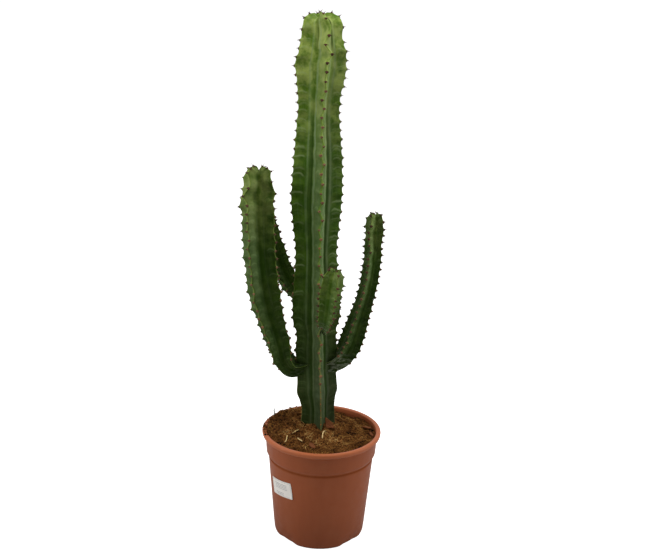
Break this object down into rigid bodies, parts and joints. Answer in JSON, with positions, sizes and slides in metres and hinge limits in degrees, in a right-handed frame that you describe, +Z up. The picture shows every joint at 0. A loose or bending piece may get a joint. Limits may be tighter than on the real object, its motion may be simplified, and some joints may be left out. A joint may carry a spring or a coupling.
{
  "type": "potted candelabra euphorbia",
  "caption": "Upright ribbed succulent with curved arms like a candelabra, standing in peat and coir in a round tapered nursery pot.",
  "frame": {"origin": "centre of the pot's flat base, on the surface that the pot stands on", "axes": "+Z up along the plant, -Y towards the front with the short young arm, +X to the right seen from the front"},
  "size_m": [0.253, 0.21, 0.8963],
  "materials": {
    "plant_skin": "waxy green skin with horny brown margins and dark spines",
    "pot_plastic": "satin terracotta-coloured moulded plastic",
    "potting_soil": "loose brown peat and coir",
    "label_paper": "matt white paper, blank",
    "bark": "rough reddish bark",
    "straw": "dry pale straw"
  },
  "bodies": {
    "root": {"euphorbia": "plant_skin", "pot": "pot_plastic", "soil": "potting_soil", "label": "label_paper", "bark_chip_1": "bark", "bark_chip_2": "bark", "bark_chip_3": "bark", "bark_chip_4": "bark", "straw_1": "straw", "straw_2": "straw", "straw_3": "straw", "straw_4": "straw"}
  },
  "joints": []
}
